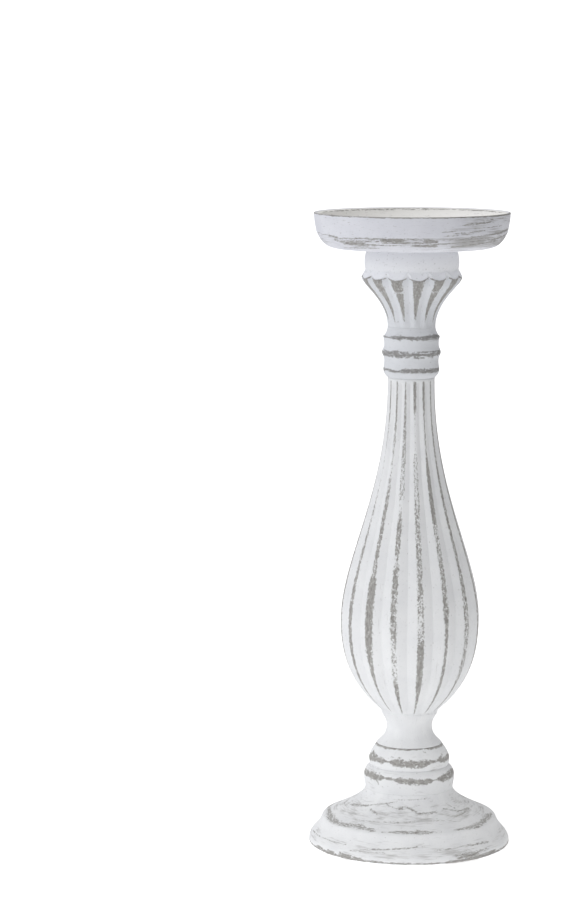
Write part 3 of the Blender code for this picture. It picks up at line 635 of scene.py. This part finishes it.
capital = {
    "height": 41.8, "neck": 12.8, "lip": 26.8, "lipHeight": 26.0, "softness": 0.2,
    "coveShare": 0.27, "bulgeShare": 0.53, "coveStep": 2.0, "bulgeStep": 1.5, "topStep": 2.9,
    "spigot": 12.0, "spigotLength": 2.5, "bore": 6.3, "boreTop": 12.9, "pilot": 2.7, "pilotFloor": 18.8,
    "flutes": {"count": 14, "columns": 26, "landColumns": 4, "core": 12.67, "turnDeg": 8.0,
               "landShake": 0.10, "depthShake": 0.10, "hollow": 0.55},
    "fluteWidth": 4.8, "fluteDepth": 1.3, "notchDepth": 1.6, "lobe": 1.9,
    # how far down each land is rubbed, as a share of the flare's height, from the left around
    "lands": [0.78, 0.86, 0.86, 0.84, 0.84, 0.86, 0.88, 0.80, 0.6, 0.8, 0.7, 0.85, 0.66, 0.76],
    "nickDown": 6.5, "nickPale": 0.40,        # a pale nick across some lands, below the lip
}


def capitalLand(radius):
    return max(1 - capital["fluteWidth"] * capital["flutes"]["count"] / (2 * math.pi * radius), 0.10)


def makeCapital(size):
    band = size["height"] - size["lipHeight"]
    bottom = at(size["neck"], -seamFill)
    lip = at(size["lip"], size["lipHeight"])
    cove = at(size["lip"] - size["coveStep"], size["lipHeight"] + band * size["coveShare"])
    bulge = at(size["lip"] - size["bulgeStep"], size["lipHeight"] + band * size["bulgeShare"])
    top = at(size["lip"] - size["topStep"], size["height"] + seamFill)
    outline = [at(0, size["boreTop"]), at(size["bore"], size["boreTop"]), at(size["bore"], bottom.y)]
    outline += stretch(bottom, 90, 0.46, lip, 86, 0.12, 60)
    outline += stretch(lip, 105, 0.40, cove, 95, 0.40, 16)[1:]
    outline += stretch(cove, 80, 0.35, bulge, 90, 0.35, 10)[1:]
    outline += stretch(bulge, 90, 0.40, top, 105, 0.30, 12)[1:]
    outline += [at(size["spigot"], top.y), at(size["spigot"], size["height"] + size["spigotLength"]),
                at(size["pilot"], size["height"] + size["spigotLength"]),
                at(size["pilot"], size["pilotFloor"]), at(0, size["pilotFloor"])]
    flutes = size["flutes"]
    outline = softened(outline, size["softness"], False, [bottom, top])
    mesh = turned(outline, flutes["count"] * flutes["columns"], False)

    def depthAt(radius, height):
        # deeper at the lip, where the flutes break through it
        start = rise(height, 0, size["lipHeight"] * 0.5)
        end = 1 - rise(height, size["lipHeight"] + 3.0, size["lipHeight"] + 4.5)
        deeper = smooth(size["lipHeight"] - 6.0, size["lipHeight"], height)
        return (size["fluteDepth"] + (size["notchDepth"] - size["fluteDepth"]) * deeper) * start * end

    def recessAt(radius, height):
        return size["lip"] - radius if height > size["lipHeight"] else 0.0

    carveFlutes(mesh, flutes, capitalLand, depthAt, recessAt)
    # the lip hangs in lobes between the flutes
    for vert in mesh.verts:
        height = vert.co.z / mm
        near = smooth(size["lipHeight"] - 4.0, size["lipHeight"], height)
        near *= smooth(size["lipHeight"] + 7.0, size["lipHeight"] + 1.0, height)
        vert.co.z += lobeRise(turnDeg(vert.co)) * near * mm
    return mesh


def fromLand(degrees):
    # which land is nearest, and how far off its middle this is: 1 in the middle of a flute
    turns = (degrees - capital["flutes"]["turnDeg"]) * capital["flutes"]["count"] / 360.0
    return round(turns), abs(turns - round(turns)) * 2


def lobeRise(degrees):
    return capital["lobe"] * fromLand(degrees)[1] ** 1.8


def capitalWear(degrees, radius, height):
    ridge, off = fromLand(degrees)
    down = capital["lands"][(ridge + 4) % len(capital["lands"])]
    below = capital["lipHeight"] * (1 - down)
    reach = off / capitalLand(max(radius, capital["neck"]))
    underLip = capital["lipHeight"] + lobeRise(degrees) - height
    rub = 1.1 * (1 - smooth(0.62, 1.18, reach))
    rub *= smooth(below - 4.0, below + 5.0, height) * smooth(-0.4, 0.1, underLip)
    nick = capital["lipHeight"] - capital["nickDown"] + 1.6 * wander(degrees, 20, 3)
    onNick = (1 - smooth(0.2, 0.8, abs(height - nick))) * smooth(-0.05, 0.2, wander(degrees, 26, 8))
    rub *= 1 - capital["nickPale"] * onNick
    # a thin grey line drawn along the lip's lower edge, just under the lobes
    edge = 1.2 * (1 - smooth(0.15, 0.55, abs(underLip - 0.1))) * smooth(1.1, 0.7, off)
    inside = radius < 6.5 or height > capital["height"] + 0.3
    # the last value lightens the band above the lip: painted light under the dish
    return max(rub, edge), 0.15, 1.0 if inside else 0.0, smooth(0.5, -1.5, underLip)


# the capital's lightest white is painted light on the band under the dish
capitalPaint = chalkPaint("chalk paint rubbed through on the capital",
                          {**paint, "paintPale": "#DFE1E5", "paintDeep": "#D7D9DD", "paintedLightTone": "#F3F4F7",
                           "marks": (5.0, 0.6), "tear": (0.9, 1.3), "tearDepth": 2.7})
finishPiece("fluted_capital", makeCapital(capital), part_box("capital")[0].z, capital["lip"] * 0.85,
            capitalWear, capitalPaint, "capital")


dish = {
    "columns": 384, "softness": 0.2,
    "height": 18.8, "radius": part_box("candle_dish")[1].x / mm,
    "draft": 1.4, "edgeRun": 9.4, "edgeRise": 8.6,
    "landWidth": 3.5, "landFall": 0.7, "rimRound": 0.6, "wellDepth": 8.5, "wallRun": 6.0,
    "paintFrom": 21.3,        # the underside is fully painted from here outwards
    "spigotHole": 12.3, "spigotTop": 3.1, "plugHole": 6.3, "plugLedge": 7.45, "headHole": 4.9,
    "headFace": 7.3, "headDepth": 2.6, "shankHole": 2.7,
    "rimBand": {"height": 0.35, "width": 0.7, "waves": 30, "wander": 0.12, "seed": 61,
                "turns": [(-90, 0.6), (-60, 0.4), (-30, 0.5), (-10, 0.7), (5, 0.9), (25, 0.9), (40, 1.2),
                          (80, 1.2), (100, 0.5), (180, 0.3), (240, 0.4)]},
    "cornerBand": {"height": 0.1, "width": 0.9, "waves": 17, "wander": 0.2, "seed": 65,
                   "turns": [(-90, 0.2), (-40, 0.1), (0, 0.1), (50, 0.1), (90, 0.2), (125, 0.9),
                             (180, 1.1), (225, 0.9), (245, 0.4)]},
    "scuffSolid": 1.0, "cornerSolid": 0.75,
    "scuffs": [
        (-78, -56, 8.6, 7.8, 0.5, 0.8), (-60, -50, 8.0, 6.8, 1.3, 0.9), (-55, -46, 5.9, 4.4, 1.1, 0.9),
        (-49, -30, 4.5, 4.6, 1.5, 1.0), (-34, -22, 4.4, 4.1, 0.9, 0.75), (-50, -30, 6.6, 7.4, 0.7, 0.9),
        (-33, -14, 7.4, 7.8, 0.6, 0.85), (-19, -5, 6.6, 6.8, 2.0, 1.1), (-14, -3, 5.2, 5.0, 0.7, 0.8),
        (-7, 10, 7.3, 7.5, 0.6, 0.85), (7, 16, 6.8, 6.0, 1.9, 0.95), (0, 16, 4.1, 3.6, 1.1, 1.05),
        (12, 22, 5.0, 4.6, 0.8, 0.8), (-52, -20, 1.6, 2.4, 0.6, 0.65), (-40, -24, 2.9, 3.1, 0.5, 0.55),
        (30, 55, 14.3, 15.6, 0.8, 0.9), (35, 49, 15.3, 15.6, 0.5, 0.8), (44, 70, 16.6, 17.0, 0.5, 0.75),
        (24, 50, 10.0, 11.2, 0.6, 0.75), (40, 66, 12.4, 13.0, 0.5, 0.7), (36, 62, 7.7, 9.2, 0.9, 0.9),
        (60, 80, 9.0, 10.4, 1.3, 1.0), (25, 66, 3.0, 5.2, 0.9, 0.95), (56, 82, 5.6, 8.0, 1.0, 0.95),
        (17, 28, 10.9, 11.6, 0.6, 0.7), (18, 40, 8.8, 9.9, 0.5, 0.75), (17, 56, 6.8, 7.0, 0.6, 0.8),
        (100, 150, 6.0, 7.4, 1.4, 0.95), (120, 168, 4.2, 5.0, 0.9, 0.9), (95, 140, 10.5, 12.0, 0.7, 0.8),
        (-150, -98, 5.4, 7.0, 1.2, 0.95), (-172, -130, 7.4, 7.0, 0.8, 0.85),
        (-160, -110, 3.4, 4.6, 0.8, 0.85), (150, 179, 7.6, 7.2, 0.9, 0.9),
        (-46, -10, 5.6, 6.2, 0.8, 0.85), (-30, 10, 6.9, 7.4, 0.7, 0.9), (-20, 14, 5.2, 5.6, 0.9, 0.9),
        (-45, -5, 3.6, 4.0, 0.6, 0.85), (10, 60, 4.4, 6.4, 0.6, 0.9)],
}


def makeDish(size):
    floor = size["height"] - size["wellDepth"]
    edge = at(size["radius"] - size["draft"], size["edgeRise"])
    land = at(size["radius"] - size["landWidth"], size["height"] - size["landFall"])
    well = at(size["radius"] - size["landWidth"] - size["wallRun"], floor)
    outline = [at(size["spigotHole"], 0), at(size["paintFrom"], 0)]
    outline += stretch(at(edge.x - size["edgeRun"], 0), 18, 0.12, edge, 67, 0.72, 44)
    rimSide = at(size["radius"], size["height"] - size["rimRound"])
    rimTop = at(size["radius"] - size["rimRound"], size["height"])
    outline += stretch(edge, 78, 0.30, rimSide, 87, 0.30, 34)[1:]
    outline += stretch(rimSide, 90, 0.55, rimTop, 180, 0.55, 5)[1:]
    outline += stretch(outline[-1], 184, 0.3, land + at(0.5, 0.08), 192, 0.3, 8)[1:]
    outline += stretch(outline[-1], 194, 0.4, land - at(0.25, 0.6), 262, 0.4, 6)[1:]
    outline += stretch(outline[-1], -75, 0.40, well, 185, 0.40, 26)[1:]
    outline += [at(size["plugHole"], floor), at(size["plugHole"], size["plugLedge"]),
                at(size["headHole"], size["plugLedge"]), at(size["headHole"], size["headFace"]),
                at(size["shankHole"], size["headFace"] - size["headDepth"]),
                at(size["shankHole"], size["spigotTop"]), at(size["spigotHole"], size["spigotTop"])]
    return turned(softened(outline, size["softness"], True), size["columns"], True)


def dishWear(degrees, radius, height):
    outside = radius > dish["radius"] - dish["landWidth"] - 0.4
    rub = 0.0
    veil = 0.15
    if outside and height > 16.5:
        fromRim = (dish["radius"] - radius) + (dish["height"] - height)
        rub = bandRub(degrees, fromRim, dish["rimBand"])
    if height > 15.0 and radius < dish["radius"] - 1.5:
        fromCorner = math.hypot(radius - dish["radius"] + dish["landWidth"],
                                height - dish["height"] + dish["landFall"])
        rub = max(rub, dish["cornerSolid"] * bandRub(degrees, fromCorner, dish["cornerBand"]))
    if radius > 42.0 and height < 10.0 or radius > dish["radius"] - 1.6 and height < 18.0:
        rub = max(rub, dish["scuffSolid"] * strokeRub(degrees, height, dish["scuffs"]))
        low = smooth(9.0, 7.4, height) * smooth(1.0, 3.0, height)
        right = smooth(10.0, 34.0, degrees) * smooth(105.0, 85.0, degrees)
        back = 0.8 * smooth(95.0, 120.0, abs(degrees))
        veil = 0.15 + 0.45 * low + 0.42 * max(right, back)
    inside = radius < 20.0 and height < 3.2 or radius < 6.4 and height < 9.5
    # the lighter, warmer white inside the well is painted light
    inWell = smooth(dish["radius"] - 1.4, dish["radius"] - 2.2, radius) * smooth(9.5, 10.2, height)
    return rub, veil, 1.0 if inside else 0.0, inWell


dishPaint = chalkPaint("chalk paint dry-brushed around the dish",
                       {**paint, "paintPale": "#E2E3E9", "paintDeep": "#DADBE2", "grain": (4.0, 0.4),
                        "tear": (2.8, 0.45), "tearDepth": 2.6, "speck": (0.9, 0.4), "speckDepth": 1.8,
                        "streak": (16.0, 0.55), "streakCover": 0.70})
finishPiece("turned_dish", makeDish(dish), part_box("candle_dish")[0].z, dish["radius"], dishWear,
            dishPaint, "candle_dish")


plug = {"columns": 96, "softness": 0.15, "radius": 6.15, "thickness": 2.7}
felt = {"columns": 160, "softness": 0.35, "radius": 45.5, "thickness": 1.5}


def makeDisc(size):
    outline = [at(0, 0), at(size["radius"], 0)]
    outline += [at(size["radius"], size["thickness"]), at(0, size["thickness"])]
    return turned(softened(outline, size["softness"], False), size["columns"], False)


def plainWear(degrees, radius, height):
    # the last value gives the plug in the dish floor the same painted light as the inside of the dish
    return 0.0, 0.1, 0.0, 1.0


def pressedFelt():
    # Pressed wool felt: short fibres in every direction, so it is deep, dull and slightly hairy
    material, tree, shader = newMaterial("pressed wool felt")
    place = addNode(tree, "ShaderNodeTexCoord", {}, {}, "Object")
    bent = addNode(tree, "ShaderNodeTexNoise", {}, {"Vector": place, "Scale": 900.0, "Detail": 2.0}, "Color")
    shifted = addNode(tree, "ShaderNodeVectorMath", {"operation": "MULTIPLY_ADD"}, {
        0: bent, 1: (2 * mm, 2 * mm, 2 * mm), 2: place})
    fibres = addNode(tree, "ShaderNodeTexNoise", {}, {
        "Vector": shifted, "Scale": 2600.0, "Detail": 4.0, "Roughness": 0.7})
    shade = addNode(tree, "ShaderNodeMapRange", {}, {"Value": fibres, "From Min": 0.35, "From Max": 0.65})
    colour = addNode(tree, "ShaderNodeMix", {"data_type": "RGBA"}, {
        0: shade, 6: linearColour("#565955"), 7: linearColour("#343634")}, 2)
    tree.links.new(colour, shader.inputs["Base Color"])
    shader.inputs["Roughness"].default_value = 0.95
    shader.inputs["Sheen Weight"].default_value = 0.3
    bump = addNode(tree, "ShaderNodeBump", {}, {"Strength": 0.8, "Distance": 0.15 * mm, "Height": fibres})
    tree.links.new(bump, shader.inputs["Normal"])
    return material


finishPiece("screw_plug", makeDisc(plug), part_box("dish_screw_plug")[0].z, plug["radius"], plainWear,
            dishPaint, "dish_screw_plug")
finishPiece("felt_pad", makeDisc(felt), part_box("foot_felt")[0].z, felt["radius"], plainWear,
            pressedFelt(), "foot_felt")


def bareBeech():
    # Unfinished beech: pale pinkish brown with short dark rays along the dowel
    material, tree, shader = newMaterial("bare beech")
    place = addNode(tree, "ShaderNodeTexCoord", {}, {}, "Object")
    grain = addNode(tree, "ShaderNodeMapping", {}, {"Vector": place, "Scale": (1600.0, 1600.0, 90.0)})
    rays = addNode(tree, "ShaderNodeTexNoise", {}, {
        "Vector": grain, "Scale": 1.0, "Detail": 4.0, "Roughness": 0.6})
    shade = addNode(tree, "ShaderNodeMapRange", {}, {"Value": rays, "From Min": 0.35, "From Max": 0.7})
    colour = addNode(tree, "ShaderNodeMix", {"data_type": "RGBA"}, {
        0: shade, 6: linearColour("#CFAE86"), 7: linearColour("#A37B50")}, 2)
    tree.links.new(colour, shader.inputs["Base Color"])
    shader.inputs["Roughness"].default_value = 0.65
    bump = addNode(tree, "ShaderNodeBump", {}, {"Strength": 0.5, "Distance": 0.1 * mm, "Height": rays})
    tree.links.new(bump, shader.inputs["Normal"])
    return material


def zincPlatedSteel():
    # Zinc-plated steel: a bluish grey metal with a faintly clouded, lightly scratched plating
    material, tree, shader = newMaterial("zinc-plated steel")
    place = addNode(tree, "ShaderNodeTexCoord", {}, {}, "Object")
    cloud = addNode(tree, "ShaderNodeTexNoise", {}, {"Vector": place, "Scale": 700.0, "Detail": 3.0})
    colour = addNode(tree, "ShaderNodeMix", {"data_type": "RGBA"}, {
        0: cloud, 6: linearColour("#C3C7CC"), 7: linearColour("#A5A9AF")}, 2)
    tree.links.new(colour, shader.inputs["Base Color"])
    rough = addNode(tree, "ShaderNodeMapRange", {}, {"Value": cloud, "To Min": 0.28, "To Max": 0.48})
    tree.links.new(rough, shader.inputs["Roughness"])
    shader.inputs["Metallic"].default_value = 1.0
    return material


beech = bareBeech()
zinc = zincPlatedSteel()
for name, material in (("neck_dowel", beech), ("foot_screw", zinc), ("dish_screw", zinc)):
    nodes[name].data.materials.clear()
    nodes[name].data.materials.append(material)
print("dowel and screws finished")


stage = {
    "floorHalf": 0.55, "floorColour": "#F4F4F4", "floorGlow": 0.52,
    "skyLeft": 1.04, "skyRight": 0.44, "skyBelow": 0.50, "skySeen": 1.3,
    "tintLeft": (0.95, 0.965, 1.0, 1.0), "tintRight": (0.99, 0.985, 0.975, 1.0),
    "tintAbove": (1.0, 0.99, 0.975, 1.0),
    "keyPower": 5.0, "keySize": 0.9, "keyPlace": (-1.1, -1.0, 1.3),
    "cameraPlace": (0.0, -1.636, 0.430), "cameraDown": 7.504, "cameraLeft": 2.45, "cameraLens": 122.9,
}


def makeFloor():
    # a small white table top, bright enough to throw light back up at the stick
    mesh = bmesh.new()
    bmesh.ops.create_grid(mesh, x_segments=1, y_segments=1, size=stage["floorHalf"])
    data = bpy.data.meshes.new("floor")
    mesh.to_mesh(data)
    mesh.free()
    floor = bpy.data.objects.new("floor", data)
    bpy.context.scene.collection.objects.link(floor)
    material, tree, shader = newMaterial("white studio paper")
    shader.inputs["Base Color"].default_value = linearColour(stage["floorColour"])
    shader.inputs["Roughness"].default_value = 0.9
    shader.inputs["Specular IOR Level"].default_value = 0.1
    shader.inputs["Emission Color"].default_value = (1, 1, 1, 1)
    shader.inputs["Emission Strength"].default_value = stage["floorGlow"]
    data.materials.append(material)
    floor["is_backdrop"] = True


def makeSky():
    # a white studio tent: lit more from the left than from the right, plain white behind the object
    world = bpy.data.worlds.new("studio tent")
    bpy.context.scene.world = world
    world.use_nodes = True
    tree = world.node_tree
    way = addNode(tree, "ShaderNodeTexCoord", {}, {}, "Generated")
    across = addNode(tree, "ShaderNodeSeparateXYZ", {}, {0: way}, "X")
    upwards = addNode(tree, "ShaderNodeSeparateXYZ", {}, {0: way}, "Z")
    side = addNode(tree, "ShaderNodeMapRange", {}, {
        "Value": across, "From Min": -1.0, "To Min": stage["skyLeft"], "To Max": stage["skyRight"]})
    above = addNode(tree, "ShaderNodeMapRange", {}, {
        "Value": upwards, "From Min": -0.15, "From Max": 0.15, "To Min": stage["skyBelow"]})
    share = addNode(tree, "ShaderNodeMapRange", {}, {"Value": across, "From Min": -0.5})
    tint = addNode(tree, "ShaderNodeMix", {"data_type": "RGBA"}, {
        0: share, 6: stage["tintLeft"], 7: stage["tintRight"]}, 2)
    overhead = addNode(tree, "ShaderNodeMapRange", {}, {"Value": upwards, "From Min": 0.3, "From Max": 0.9})
    tint = addNode(tree, "ShaderNodeMix", {"data_type": "RGBA"}, {
        0: overhead, 6: tint, 7: stage["tintAbove"]}, 2)
    strength = addNode(tree, "ShaderNodeMath", {"operation": "MULTIPLY"}, {0: side, 1: above})
    light = addNode(tree, "ShaderNodeVectorMath", {"operation": "SCALE"}, {0: tint, "Scale": strength})
    seen = addNode(tree, "ShaderNodeLightPath", {}, {}, "Is Camera Ray")
    white = (stage["skySeen"], stage["skySeen"], stage["skySeen"], 1.0)
    final = addNode(tree, "ShaderNodeMix", {"data_type": "RGBA"}, {0: seen, 6: light, 7: white}, 2)
    tree.links.new(final, tree.nodes["Background"].inputs["Color"])


def addKey():
    lamp = bpy.data.lights.new("key", "AREA")
    lamp.energy = stage["keyPower"]
    lamp.size = stage["keySize"]
    holder = bpy.data.objects.new("key", lamp)
    holder.location = stage["keyPlace"]
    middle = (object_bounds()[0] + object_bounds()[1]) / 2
    holder.rotation_euler = (middle - Vector(stage["keyPlace"])).to_track_quat("-Z", "Y").to_euler()
    bpy.context.scene.collection.objects.link(holder)


def addCamera():
    view = bpy.data.cameras.new("camera")
    view.sensor_width = 36.0
    view.lens = stage["cameraLens"]
    view.clip_end = 200.0
    holder = bpy.data.objects.new("camera", view)
    holder.location = stage["cameraPlace"]
    holder.rotation_euler = (math.radians(90 - stage["cameraDown"]), 0.0, math.radians(stage["cameraLeft"]))
    bpy.context.scene.collection.objects.link(holder)
    bpy.context.scene.camera = holder


makeFloor()
makeSky()
addKey()
addCamera()
bpy.context.scene.view_settings.view_transform = "Standard"
print("stage ready")
